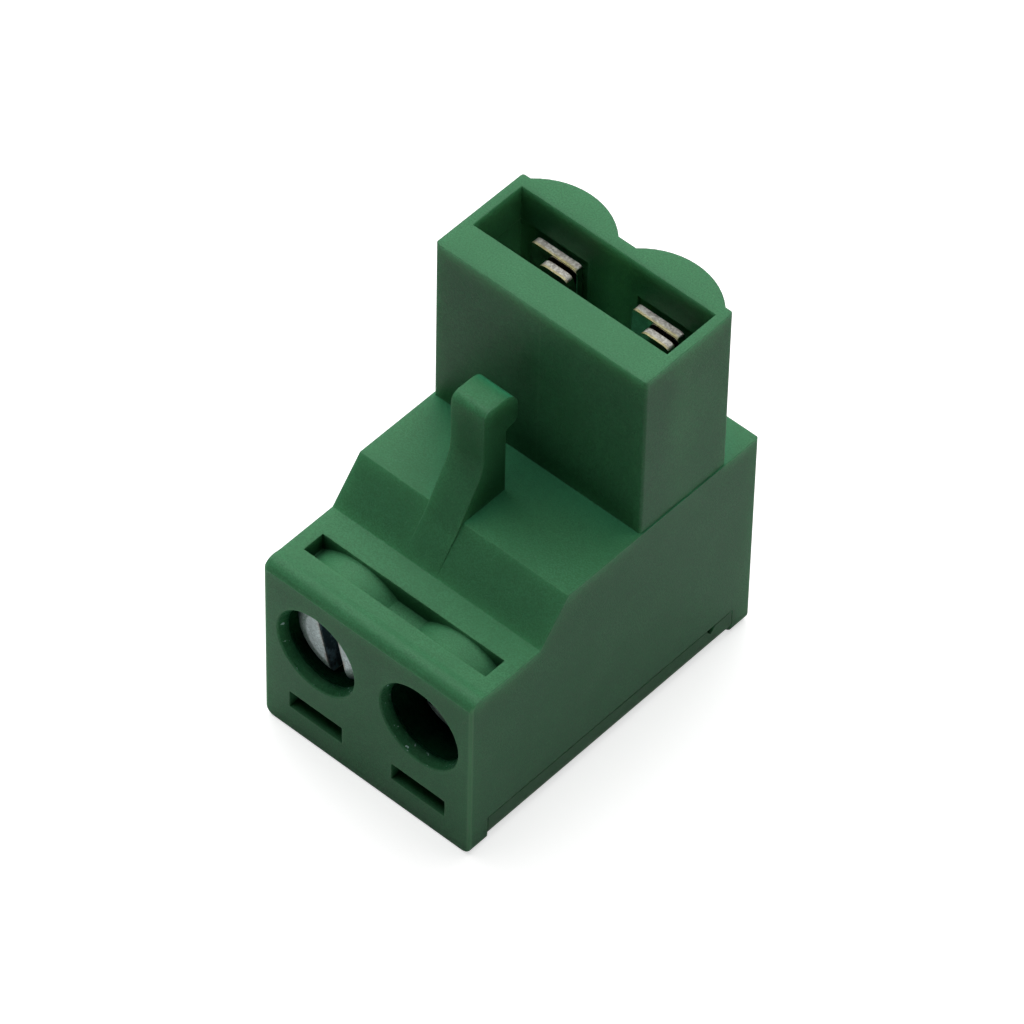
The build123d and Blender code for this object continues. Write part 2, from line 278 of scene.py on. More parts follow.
def bump(tree, height, depth, normal, strength=1.0):
    """Raises the surface by depth where the height is 1."""
    sockets = {"Height": height, "Distance": depth, "Strength": strength, "Normal": normal}
    return add_node(tree, "Bump", sockets).outputs["Normal"]


print("an outer edge is found below an occlusion of", EDGE_RANGE[0])

# %% [markdown]
# Each finish is one material with one Principled shader. A piece takes the same material in all its slots,
# because every piece of this plug is made of one stuff.

# %% Materials and pieces


def new_material(name):
    """A material with one Principled shader, its tree and that shader."""
    made = bpy.data.materials.new(name)
    made.use_nodes = True
    return made, made.node_tree, made.node_tree.nodes["Principled BSDF"]


def give(piece, made):
    """Puts a material on every slot of a piece."""
    if not piece.data.materials:
        piece.data.materials.append(made)
    for number in range(len(piece.data.materials)):
        piece.data.materials[number] = made


print("pieces to dress", len(frame["nodes"]))

# %% [markdown]
# The screws stand in round wells, whose walls are smoother than the rest of the housing, because polished
# pins shape them in the mould. A point lies in a well when it is near a screw axis and not far behind the
# screw face. The two axes are mirror images, so one sum with the unsigned distance from the middle serves
# both. Every pair of numbers says where a mask is 0 and where it is 1, in millimetres.

# %% Round wells
WELL_SIDE = (2.10, 2.05)
WELL_END = (3.2, 3.0)
WALL_START = (0.03, 0.10)
# Depths over which the painted shade of a well sets in.
WELL_DARKENS = (0.05, 0.6)


def length_of(tree, across, along):
    """The length of a flat step, from its two parts."""
    step = add_node(tree, "CombineXYZ", {"X": across, "Y": along}).outputs["Vector"]
    return add_node(tree, "VectorMath", {0: step}, operation="LENGTH").outputs["Value"]


def distance_from_screws(tree, parts):
    """How far a point is from the nearer screw axis, in millimetres."""
    axis = screw_axis["right"] / MM
    across = minus(tree, unsigned(tree, parts["X"]), axis.x)
    return length_of(tree, across, minus(tree, parts["Z"], axis.z))


def behind_face(tree, parts):
    """How deep a point lies behind the screw face, in millimetres."""
    return minus(tree, parts["Y"], screw_face / MM)


def polished_wells(tree, parts):
    """Two masks for the round wells: where their polished walls are, and how deep a point is in them."""
    depth = behind_face(tree, parts)
    inside = mask_between(tree, distance_from_screws(tree, parts), *WELL_SIDE)
    inside = times(tree, inside, mask_between(tree, depth, *WELL_END))
    wall = times(tree, inside, mask_between(tree, depth, *WALL_START))
    deep = times(tree, inside, mask_between(tree, depth, *WELL_DARKENS))
    return wall, deep


print("wells round", {side: round(axis.x / MM, 2) for side, axis in screw_axis.items()}, "mm")

# %% [markdown]
# Outer edges look a little paler, partly because they are scuffed and partly from a painted highlight where
# their rounding would catch the light. The two uprights beside the screw face, where the halves of the mould
# meet, and a fine step across that face carry a painted highlight too. A faint paler upright on the middle of
# the shell's front wall is a line the mould leaves. They are too fine to be worth faces, so each is a mask
# with a strength of its own. The strongest of them counts at any point.

# %% Lines of the mould and painted highlights
STEP_HEIGHT = 8.06
SHELL_FRONT = 1.30
LINE_WIDTH = (0.06, 0.02)
MIDDLE_WIDTH = (0.07, 0.02)
UPRIGHT_WIDTH = (0.18, 0.06)
EDGE_WIDTH = 0.12 * MM
# Strengths of the marks: outer edges are partly scuffed and partly painted highlight, the uprights and the step
# are painted highlight, and the middle line is a paler mould line.
EDGE_PALENESS_AND_HIGHLIGHT = 0.22
UPRIGHT_HIGHLIGHT = 0.7
STEP_HIGHLIGHT = 0.2
MIDDLE_PALENESS = 0.12


def near(tree, value, place, width):
    """A mask along the line where the value is at that place."""
    return mask_between(tree, unsigned(tree, minus(tree, value, place)), *width)


def step_line(tree, parts):
    """A mask along the fine step on the screw face, where the ledge's insert meets the face's plate and a painted
    highlight lies.
    """
    on_face = near(tree, parts["Y"], screw_face / MM, LINE_WIDTH)
    return times(tree, near(tree, parts["Z"], STEP_HEIGHT, LINE_WIDTH), on_face)


def middle_line(tree, parts):
    """A mask along the fine upright line on the middle of the shell's front wall."""
    on_wall = near(tree, parts["Y"], SHELL_FRONT, LINE_WIDTH)
    return times(tree, near(tree, parts["X"], 0.0, MIDDLE_WIDTH), on_wall)


def front_uprights(tree, parts):
    """A mask along the two upright edges beside the screw face, where the halves of the mould meet and a painted
    highlight lies.
    """
    across = minus(tree, unsigned(tree, parts["X"]), housing_high.x / MM)
    return mask_between(tree, length_of(tree, across, behind_face(tree, parts)), *UPRIGHT_WIDTH)


def pale_marks_and_highlights(tree, parts):
    """A mask of the paler scuffed edges and mould line, and of the painted highlights on the edges, uprights and
    step.
    """
    return larger(
        tree,
        times(tree, outer_edges(tree, EDGE_WIDTH), EDGE_PALENESS_AND_HIGHLIGHT),
        times(tree, front_uprights(tree, parts), UPRIGHT_HIGHLIGHT),
        times(tree, step_line(tree, parts), STEP_HIGHLIGHT),
        times(tree, middle_line(tree, parts), MIDDLE_PALENESS),
    )


print("step line at a height of", STEP_HEIGHT, "mm, middle line at a depth of", SHELL_FRONT, "mm")

# %% [markdown]
# The green of a face is not even. It is cloudy at the scale of two millimetres, because the pigment isn't
# quite mixed. The grain of the spark-eroded mould darkens it in fine dots, and there are a few paler
# flecks. Each is a pattern that mixes the next colour into the one before.

# %% Clouds, grain and flecks
GREEN = (0.053, 0.230, 0.097, 1)
GREEN_DEEP = (0.045, 0.203, 0.084, 1)
GREEN_GRAIN = (0.039, 0.172, 0.072, 1)
GREEN_FLECK = (0.110, 0.290, 0.150, 1)
# Pale green of scuffed edges and mould lines, which is also the colour of the painted highlights on edges.
PALE_EDGE_AND_HIGHLIGHT = (0.120, 0.330, 0.160, 1)
COVER_GREEN = (0.047, 0.190, 0.074, 1)
COVER_GREEN_DEEP = (0.040, 0.168, 0.063, 1)
FLECK_STRENGTH = 0.3


def clouded_green(tree, places, grain, tone, deep_tone):
    """The colour of an open face, from its two tones."""
    clouds = patches(tree, places, 0.45, low=0.3, high=0.7, detail=4.0, roughness=0.6)
    flecks = patches(tree, places, 11.0, low=0.62, high=0.80, detail=1.0)
    colour = blend_colours(tree, clouds, deep_tone, tone)
    colour = blend_colours(tree, mask_between(tree, grain, low=0.60, high=0.40), colour, GREEN_GRAIN)
    return blend_colours(tree, times(tree, flecks, FLECK_STRENGTH), colour, GREEN_FLECK)


print("housing green", GREEN[:3], "cover green", COVER_GREEN[:3])

# %% [markdown]
# Narrow places get painted shade: the colour is darkened more than the light alone would darken it. How
# open a point is gives the depth of that painted shade. The level faces of the shoulder and above are the
# exception. In their inner corners a painted sheen stands for the bright screen overhead that they mirror,
# and makes them bluish green where other faces get painted dimming.

# %% Painted shade and sheen
# Painted shade for narrow places, and a painted sheen for the shoulder's inner corners.
PAINTED_SHADE_GREEN = (0.014, 0.058, 0.028, 1)
PAINTED_SHEEN_TEAL = (0.040, 0.285, 0.140, 1)
SHOULDER_STARTS = (9.5, 10.5)
OPEN_FOR_SHADE = (0.42, 0.05)
OPEN_FOR_DIM = (0.90, 0.45)
OPEN_FOR_SHEEN = (0.80, 0.45)
DIM_STRENGTH = 0.4


def with_painted_shade_and_sheen(tree, colour, parts, free):
    """The colour with painted shade in narrow places and a painted sheen in the shoulder's inner corners."""
    on_shoulder = times(tree, faces_up(tree), mask_between(tree, parts["Z"], *SHOULDER_STARTS))
    sheen = times(tree, mask_between(tree, free, *OPEN_FOR_SHEEN), on_shoulder)
    colour = blend_colours(tree, sheen, colour, PAINTED_SHEEN_TEAL)
    shade = mask_between(tree, free, *OPEN_FOR_SHADE)
    dim = times(tree, opposite(tree, on_shoulder), DIM_STRENGTH, mask_between(tree, free, *OPEN_FOR_DIM))
    return blend_colours(tree, larger(tree, shade, dim), colour, PAINTED_SHADE_GREEN)


print("shoulder starts between", SHOULDER_STARTS, "mm")

# %% [markdown]
# A well gets painted shade a little behind its mouth. On its lip, which is polished and slightly wavy, small
# spots of painted glint stand for the light it catches. They are too small for the mesh and the lamp to bring out,
# so they are in the colour.

# %% Painted shade and glints of the wells
# Painted shade deep in the wells, and painted glints on their lips.
WELL_PAINTED_SHADE = (0.004, 0.050, 0.020, 1)
PAINTED_GLINT = (0.60, 0.85, 0.82, 1)
WALL_SHADE = 0.35


def with_painted_well_shade_and_glints(tree, colour, wall, deep, ripples):
    """The colour with painted shade in the wells and painted glints on their lips."""
    well_shade = larger(tree, times(tree, wall, WALL_SHADE), deep)
    colour = blend_colours(tree, well_shade, colour, WELL_PAINTED_SHADE)
    on_lip = times(tree, wall, opposite(tree, deep))
    glints = times(tree, mask_between(tree, ripples, low=0.66, high=0.72), on_lip)
    return blend_colours(tree, glints, colour, PAINTED_GLINT)


print("well green", WELL_PAINTED_SHADE[:3])

# %% [markdown]
# The outside of the housing is a fine satin and its wells are smoother, so roughness follows the grain and
# the mask of the wells. Deep hollows lose their shine, as they have nothing bright to mirror. The relief is
# laid on in three layers: long shallow waves from the cooling of the moulding, then grain, then ripples on
# the polished walls.

# %% Satin of the plastic
SATIN = (0.38, 0.58)
WELL_ROUGHNESS = 0.3
FACE_SHINE = 0.15
WELL_SHINE = 0.03
OPEN_FOR_SHINE = (0.10, 0.45)
PLASTIC_ROUNDING = 0.06 * MM
WAVE_HEIGHT = 0.05 * MM
WAVE_STRENGTH = 0.5
GRAIN_HEIGHT = 0.012 * MM
RIPPLE_HEIGHT = 0.06 * MM


def plastic_roughness(tree, grain, wall):
    """Satin that follows the grain, and smoother walls in the wells."""
    return blend(tree, wall, spread(tree, grain, *SATIN), WELL_ROUGHNESS)


def plastic_shine(tree, free, wall):
    """The strength of the mirrored light: less in the wells and none in deep hollows."""
    return times(tree, mask_between(tree, free, *OPEN_FOR_SHINE), blend(tree, wall, FACE_SHINE, WELL_SHINE))


def plastic_relief(tree, places, grain, ripples, wall):
    """The normal, with waves, grain and ripples on softly rounded edges."""
    waves = noise(tree, places, 0.35, detail=1.0)
    normal = bump(tree, waves, WAVE_HEIGHT, rounded_edges(tree, PLASTIC_ROUNDING), WAVE_STRENGTH)
    normal = bump(tree, grain, GRAIN_HEIGHT, normal)
    return bump(tree, times(tree, ripples, wall), RIPPLE_HEIGHT, normal)


print("satin between a roughness of", SATIN)

# %% [markdown]
# The housing is injection moulded in green polyamide, which lets a little light through, so the shader
# scatters light under the surface as well as off it, except in narrow places. One network puts the earlier
# steps together. The wire cover takes the same network with its own darker tones, because it is moulded
# from another batch.

# %% Moulded plastic
OPEN_REACH = 3 * MM
OPEN_FOR_SCATTER = (0.35, 0.75)
SCATTER_REACH = 0.9 * MM
SCATTER_COLOURS = (1.0, 1.0, 0.85)


def moulded_plastic(name, tone, deep_tone):
    """Satin moulded plastic in two tones, with its marks, painted highlights, painted shade, sheen and glints, and
    with light that soaks in.
    """
    made, tree, shader = new_material(name)
    places = places_in_mm(tree)
    parts = split(tree, places)
    grain = noise(tree, places, 15.0, detail=3.0, roughness=0.6)
    ripples = noise(tree, places, 5.0)
    free = openness(tree, OPEN_REACH)
    wall, deep = polished_wells(tree, parts)
    colour = clouded_green(tree, places, grain, tone, deep_tone)
    # Paler scuffed edges and mould line, with painted highlights on edges, uprights and step.
    colour = blend_colours(tree, pale_marks_and_highlights(tree, parts), colour, PALE_EDGE_AND_HIGHLIGHT)
    # Painted shade in narrow places and a painted sheen in the shoulder's inner corners.
    colour = with_painted_shade_and_sheen(tree, colour, parts, free)
    shader.subsurface_method = "BURLEY"
    sockets = {
        # Painted shade and painted glints of the wells.
        "Base Color": with_painted_well_shade_and_glints(tree, colour, wall, deep, ripples),
        "Roughness": plastic_roughness(tree, grain, wall),
        "Specular IOR Level": plastic_shine(tree, free, wall),
        "Normal": plastic_relief(tree, places, grain, ripples, wall),
        "Subsurface Weight": mask_between(tree, free, *OPEN_FOR_SCATTER),
        "Subsurface Radius": SCATTER_COLOURS,
        "Subsurface Scale": SCATTER_REACH,
    }
    fill(tree, shader, sockets)
    return made


housing_plastic = moulded_plastic("housing_plastic", GREEN, GREEN_DEEP)
cover_plastic = moulded_plastic("cover_plastic", COVER_GREEN, COVER_GREEN_DEEP)
give(frame["nodes"]["housing"], housing_plastic)
give(frame["nodes"]["wire_cover"], cover_plastic)
print("plastics", housing_plastic.name, cover_plastic.name)

# %% [markdown]
# The contacts are stamped from brass strip and plated with tin. The rolled faces are smooth and slightly
# dulled in patches. The tips are sheared: they are rough and mottled, with painted glints in spots, and show
# a warm line of brass along their front edge. A tip is told from a rolled face by its normal, which points
# up, and the front edge by a rounded normal that leans towards the screw side.

# %% Colours of a contact
TIN = (0.44, 0.43, 0.40, 1)
TIN_DULL = (0.28, 0.27, 0.25, 1)
# Torn metal of the tips: the bright one gives the painted glints, the dull one the mottled metal.
SHEARED_WITH_GLINT = (0.95, 0.93, 0.88, 1)
SHEARED_DULL = (0.66, 0.63, 0.58, 1)
BRASS = (0.76, 0.66, 0.13, 1)
BRASS_STRENGTH = 0.9
FRONT_ROUNDING = 0.18 * MM


def bare_front(tree):
    """A mask along the edges that the punch rolled over towards the front, where the brass shows."""
    rounded = split(tree, rounded_edges(tree, FRONT_ROUNDING))
    turned_front = mask_between(tree, rounded["Y"], low=-0.01, high=-0.16)
    return times(tree, turned_front, mask_between(tree, rounded["Z"], low=0.2, high=0.5))


def strip_colour(tree, places, tips):
    """Tin on the rolled faces, mottled torn metal with painted glints on the tips, and brass along their front
    edges.
    """
    worn = patches(tree, places, 1.6, low=0.35, high=0.7, detail=4.0, roughness=0.65)
    # Mottling of the torn tips, whose brightest spots are painted glints.
    torn_spots_and_glints = patches(tree, places, 7.0, low=0.42, high=0.62, detail=3.0, roughness=0.7)
    rolled = blend_colours(tree, worn, TIN, TIN_DULL)
    torn = blend_colours(tree, torn_spots_and_glints, SHEARED_DULL, SHEARED_WITH_GLINT)
    colour = blend_colours(tree, tips, rolled, torn)
    return blend_colours(tree, times(tree, bare_front(tree), BRASS_STRENGTH), colour, BRASS)


print("tin", TIN[:3], "brass", BRASS[:3])

# %% [markdown]
# Rolling leaves very fine lines up the strip. They are the same noise, squeezed across the strip and
# stretched along it. The torn tips are much rougher, and vary from one spot to the next.

# %% Tin-plated contact strip
ALONG_THE_STRIP = (9.0, 9.0, 0.8)
ROLLED_ROUGHNESS = (0.06, 0.20)
TORN_ROUGHNESS = (0.15, 0.85)
STRIP_ROUNDING = 0.07 * MM
ROLLED_HEIGHT = 0.003 * MM
TORN_HEIGHT = 0.08 * MM


def strip_relief(tree, places, speckle, tips):
    """The normal, with rolled lines and torn tips on rounded edges."""
    stretched = add_node(tree, "VectorMath", {0: places, 1: ALONG_THE_STRIP}, operation="MULTIPLY").outputs[0]
    lines = noise(tree, stretched, 3.0, detail=3.0)
    normal = bump(tree, lines, ROLLED_HEIGHT, rounded_edges(tree, STRIP_ROUNDING))
    return bump(tree, times(tree, speckle, tips), TORN_HEIGHT, normal)


def plated_strip(name):
    """Tin plating over brass: smooth rolled faces, bright sheared tips with painted glints, brass at the front
    edges.
    """
    made, tree, shader = new_material(name)
    places = places_in_mm(tree)
    tips = faces_up(tree)
    speckle = noise(tree, places, 10.0, detail=3.0, roughness=0.7)
    rolled = spread(tree, speckle, *ROLLED_ROUGHNESS)
    torn = spread(tree, speckle, *TORN_ROUGHNESS)
    sockets = {
        "Base Color": strip_colour(tree, places, tips),
        "Roughness": blend(tree, tips, rolled, torn),
        "Normal": strip_relief(tree, places, speckle, tips),
        "Metallic": 1.0,
    }
    fill(tree, shader, sockets)
    return made


contact_metal = plated_strip("contact_metal")
for side in POLES:
    give(frame["nodes"][f"contact_{side}"], contact_metal)
print("contacts", contact_metal.name)

# %% [markdown]
# The cages are punched and bent from thick steel strip, then zinc plated. They keep the dull, slightly
# yellow bloom of barrel plating, with tumbling marks in every direction, and their edges are rubbed bright.

# %% Plated steel cage
CAGE_STEEL = (0.60, 0.60, 0.57, 1)
CAGE_BLOOM = (0.46, 0.45, 0.40, 1)
CAGE_EDGE = (0.74, 0.74, 0.72, 1)
CAGE_EDGE_WIDTH = 0.1 * MM
CAGE_EDGE_STRENGTH = 0.6
CAGE_ROUGHNESS = (0.3, 0.55)
CAGE_ROUNDING = 0.08 * MM
DENT_HEIGHT = 0.03 * MM
SPECKLE_HEIGHT = 0.006 * MM


def tumbled_steel(name):
    """Barrel-plated steel, mottled and softly dented by tumbling."""
    made, tree, shader = new_material(name)
    places = places_in_mm(tree)
    bloom = patches(tree, places, 1.1, low=0.35, high=0.68, detail=5.0, roughness=0.65)
    edges = times(tree, outer_edges(tree, CAGE_EDGE_WIDTH), CAGE_EDGE_STRENGTH)
    speckle = noise(tree, places, 9.0, detail=4.0, roughness=0.7)
    dented = bump(tree, noise(tree, places, 2.2), DENT_HEIGHT, rounded_edges(tree, CAGE_ROUNDING))
    colour = blend_colours(tree, bloom, CAGE_STEEL, CAGE_BLOOM)
    sockets = {
        "Base Color": blend_colours(tree, edges, colour, CAGE_EDGE),
        "Roughness": spread(tree, speckle, *CAGE_ROUGHNESS),
        "Normal": bump(tree, speckle, SPECKLE_HEIGHT, dented),
        "Metallic": 1.0,
    }
    fill(tree, shader, sockets)
    return made


cage_steel = tumbled_steel("cage_steel")
for side in POLES:
    give(frame["nodes"][f"clamp_cage_{side}"], cage_steel)
print("cages", cage_steel.name)

# %% [markdown]
# A clamp screw is a short steel screw with a round slotted head. The construction model keeps its stem
# plain, because a thread has far more faces than the motion needs. Here the screw is drawn again as one
# closed surface of revolution, whose rows are sheared into a helix along the stem. A row then lies exactly
# on the crest or the root of the thread, which a straight grid would leave ragged. The slot is cut
# last, with a boolean, and the fine bevel after it breaks the edges as barrel plating does.

# %% Sizes of the clamp screw
FULL_TURN = 2 * pi
THREAD_PITCH = FULL_TURN / next(c["ratio"] for c in frame["record"]["behaviour"]["couplings"])
THREAD_RADIUS = 1.25 * MM
THREAD_ROOT = 0.98 * MM
HEAD_RADIUS = 1.8 * MM
HEAD_HEIGHT = 1.6 * MM
HEAD_FACE = 1.22 * MM
HEAD_EDGE = 0.3 * MM
HEAD_FOOT = 0.06 * MM
PLAIN_STEM = 0.3 * MM
TIP_CHAMFER = 0.35 * MM
SEGMENTS = 72
print("thread pitch", round(THREAD_PITCH / MM, 3), "mm")

# %% [markdown]
# One turn of a metric thread has a flat crest, a flank at nearly thirty degrees, a flat root and a flank
# back. The profile is a list of a few points, each with the part of the pitch where it lies and its radius.

# %% Thread profile
CREST_FLAT = 0.125
ROOT_FLAT = 0.25


def thread_profile():
    """Corners of one pitch of the thread, as (part of the pitch, radius)."""
    crest = CREST_FLAT / 2
    root = ROOT_FLAT / 2
    return [
        (root, THREAD_ROOT),
        (0.5 - crest, THREAD_RADIUS),
        (0.5 + crest, THREAD_RADIUS),
        (1 - root, THREAD_ROOT),
    ]


def around(axis, radius, depth, turn):
    """A point round the screw axis, at that depth, turned clockwise as seen from the head."""
    return Vector((axis.x + radius * sin(turn), depth, axis.z + radius * cos(turn)))


def turn_of(step):
    """The angle of that step on the way round."""
    return FULL_TURN * step / SEGMENTS


def thread_rows(start, end):
    """Rows of (depth at no turn, radius) that cover the stem from start to end and one pitch beyond."""
    rows = []
    turns = int((end - start) / THREAD_PITCH) + 2
    for number in range(-1, turns):
        for part, radius in thread_profile():
            rows.append((start + (number + part) * THREAD_PITCH, radius))
    return rows


print("profile", [(round(part, 3), round(radius / MM, 3)) for part, radius in thread_profile()])

# %% [markdown]
# The surface is built ring by ring from the middle of the head to the tip. The head's rings come first:
# two on its flat face, a quarter of an ellipse over its rim, and two at its foot. On the stem each ring
# drops by one pitch on its way round, so the last segment joins a row to the row one turn further on. Rows
# that run past either end are pressed flat onto it, and the chamfer of the tip limits their radius.

# %% Rings of the screw
FACE_RINGS = (0.5, 0.8)
RIM_STEPS = 8


def head_rings(top):
    """Rings (depth, radius) over the head, from its middle to where the stem starts."""
    rings = [(top, HEAD_FACE * share) for share in FACE_RINGS]
    for step in range(RIM_STEPS + 1):
        turn = step / RIM_STEPS * pi / 2
        radius = HEAD_FACE + (HEAD_RADIUS - HEAD_FACE) * sin(turn)
        rings.append((top + HEAD_EDGE - HEAD_EDGE * cos(turn), radius))
    bottom = top + HEAD_HEIGHT
    rings += [(bottom - HEAD_FOOT, HEAD_RADIUS), (bottom, HEAD_RADIUS - HEAD_FOOT)]
    return rings


def stem_point(axis, row, step, start, end):
    """A point of the helical stem, pressed back to the ends and cut by the tip's chamfer."""
    depth, radius = row
    turned = depth + step / SEGMENTS * THREAD_PITCH
    kept = min(max(turned, start), end)
    if kept != turned or kept < start + PLAIN_STEM:
        radius = THREAD_ROOT
    chamfer = THREAD_RADIUS - TIP_CHAMFER + (end - kept)
    return around(axis, min(radius, chamfer), kept, turn_of(step))


print("head has", len(head_rings(0)), "rings")

# %% [markdown]
# Each ring becomes a row of corners in a bmesh, and four corners of two neighbours make a face. A fan of
# triangles closes either end. Corners that meet after a full turn are merged at last, which makes the
# surface watertight, as the boolean for the slot needs it.

# %% Build the screw
SAME_POINT = 1e-7


def join_rings(surface, rings):
    """Fills the space between each ring and the next with faces."""
    for inner, outer in zip(rings, rings[1:]):
        for step in range(SEGMENTS):
            surface.faces.new((inner[step], inner[step + 1], outer[step + 1], outer[step]))


def close_end(surface, axis, ring, depth):
    """Closes a ring with triangles round its middle."""
    middle = surface.verts.new(Vector((axis.x, depth, axis.z)))
    for step in range(SEGMENTS):
        surface.faces.new((middle, ring[step], ring[step + 1]))


def screw_surface(axis, top, tip):
    """The closed surface of one screw, without its slot."""
    surface = bmesh.new()
    start = top + HEAD_HEIGHT
    steps = range(SEGMENTS + 1)
    rings = []
    for depth, radius in head_rings(top):
        points = [around(axis, radius, depth, turn_of(step)) for step in steps]
        rings.append([surface.verts.new(point) for point in points])
    for row in thread_rows(start, tip):
        points = [stem_point(axis, row, step, start, tip) for step in steps]
        rings.append([surface.verts.new(point) for point in points])
    join_rings(surface, rings)
    close_end(surface, axis, rings[0], top)
    close_end(surface, axis, rings[-1], tip)
    bmesh.ops.remove_doubles(surface, verts=surface.verts, dist=SAME_POINT)
    bmesh.ops.recalc_face_normals(surface, faces=surface.faces)
    return surface


def add_piece(name, surface):
    """Turns a bmesh into an object of the scene."""
    mesh = bpy.data.meshes.new(name)
    surface.to_mesh(mesh)
    surface.free()
    piece = bpy.data.objects.new(name, mesh)
    bpy.context.scene.collection.objects.link(piece)
    return piece


print("a ring has", SEGMENTS, "segments")

# %% [markdown]
# The driver slot is a straight saw cut across the head. A box, turned about the screw's axis by the angle
# seen in the photograph, is taken away with a boolean. The result is read back from the evaluated object,
# so that the finished screw carries no modifier and no cutter stays in the scene.

# %% Cut the slot
SLOT_WIDTH = 0.86 * MM
SLOT_DEPTH = 0.85 * MM
SLOT_TURN = {"left": -14.5, "right": 62.0}
SLOT_BEVEL = 0.03 * MM
SHARP_ANGLE = radians(50)


def slot_cutter(axis, top, turn):
    """A box across the head, as deep as the slot and longer than the head is wide."""
    box = bmesh.new()
    bmesh.ops.create_cube(box, size=1)
    size = Matrix.Diagonal((SLOT_WIDTH, 2 * SLOT_DEPTH, 3 * HEAD_RADIUS, 1))
    place = Matrix.Translation((axis.x, top, axis.z)) @ Matrix.Rotation(radians(turn), 4, "Y")
    bmesh.ops.transform(box, matrix=place @ size, verts=box.verts)
    bmesh.ops.recalc_face_normals(box, faces=box.faces)
    return add_piece("slot_cutter", box)


def cut(piece, cutter, edge):
    """Takes the cutter out of the piece, breaks the sharp edges and bakes the result into its mesh."""
    boolean = piece.modifiers.new("slot", "BOOLEAN")
    boolean.object = cutter
    boolean.operation = "DIFFERENCE"
    boolean.solver = "EXACT"
    breaker = piece.modifiers.new("edges", "BEVEL")
    breaker.width = edge
    breaker.segments = 2
    breaker.limit_method = "ANGLE"
    breaker.angle_limit = SHARP_ANGLE
    seen = piece.evaluated_get(bpy.context.evaluated_depsgraph_get())
    finished = bpy.data.meshes.new_from_object(seen)
    piece.modifiers.clear()
    piece.data = finished
    bpy.data.objects.remove(cutter)


clamp_screws = {}
for side in POLES:
    low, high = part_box(f"clamp_screw_{side}")
    axis = screw_axis[side]
    piece = add_piece(f"screw_{side}", screw_surface(axis, low.y, high.y))
    cut(piece, slot_cutter(axis, low.y, SLOT_TURN[side]), SLOT_BEVEL)
    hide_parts(f"clamp_screw_{side}")
    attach(piece, f"screw_{side}")
    clamp_screws[side] = piece
    print(piece.name, len(piece.data.polygons), "faces")

# %% [markdown]
# A screw head has three finishes, which are told apart by the distance from the axis and the depth behind
# the head's own face: the turned rim, the sawn slot, and the rest of the flat face. The slot's mask ends
# short of the head's side and just below the slot's floor, so that the side and the stem are not taken for
# the slot. Each pair says where a mask is 0 and where it is 1, in millimetres from the size that bounds it.

# %% Finishes of a screw head
RIM_STARTS = (-0.02, 0.08)
SLOT_STARTS = (0.03, 0.12)
SLOT_SIDE_ENDS = (-0.02, -0.08)
SLOT_FLOOR_ENDS = (0.10, 0.05)


def mask_past(tree, value, size, limits):
    """A mask with its limits counted from a size, which is given in metres."""
    start, full = limits
    return mask_between(tree, value, size / MM + start, size / MM + full)


def head_finishes(tree, parts, face):
    """Masks of the rim, the sawn slot and the flat face of the head that starts at that depth."""
    depth = minus(tree, parts["Y"], face / MM)
    radius = distance_from_screws(tree, parts)
    rim = mask_past(tree, radius, HEAD_FACE, RIM_STARTS)
    sawn = times(
        tree,
        mask_between(tree, depth, *SLOT_STARTS),
        mask_past(tree, radius, HEAD_RADIUS, SLOT_SIDE_ENDS),
        mask_past(tree, depth, SLOT_DEPTH, SLOT_FLOOR_ENDS),
    )
    return rim, sawn, opposite(tree, larger(tree, rim, sawn))


print("rim of a head from", round(HEAD_FACE / MM, 2), "to", round(HEAD_RADIUS / MM, 2), "mm")

# %% [markdown]
# The screws are bright zinc with a blue tint. The rounded rim is smooth, and a painted reflection of the green
# well round it makes it dark and greenish. The flat face is rough and pale, with fine pits. The slot gets
# painted shade, with patches of a painted bluish sheen, and along its edges there is a thin broken line of
# brown, where the plating is thin. Each screw gets the network with the depth of its own face, as the two
# are not screwed in equally far.

# %% Zinc-plated steel
ZINC = (0.65, 0.74, 0.74, 1)
ZINC_DULL = (0.47, 0.54, 0.54, 1)
ZINC_PIT = (0.40, 0.47, 0.47, 1)
# A painted reflection of the green well on the rim, then painted shade and a painted sheen for the slot.
RIM_PAINTED_REFLECTION = (0.17, 0.27, 0.21, 1)
SLOT_PAINTED_SHADE = (0.10, 0.15, 0.17, 1)
SLOT_PAINTED_SHEEN = (0.34, 0.50, 0.56, 1)
SLOT_EDGE = (0.30, 0.21, 0.15, 1)
SLOT_EDGE_WIDTH = 0.12 * MM
SLOT_EDGE_STRENGTH = 0.8
FACE_ROUGHNESS = (0.35, 0.7)
TURNED_ROUGHNESS = 0.55
ZINC_ROUNDING = 0.03 * MM
SCRATCH_HEIGHT = 0.006 * MM
PIT_HEIGHT = 0.02 * MM


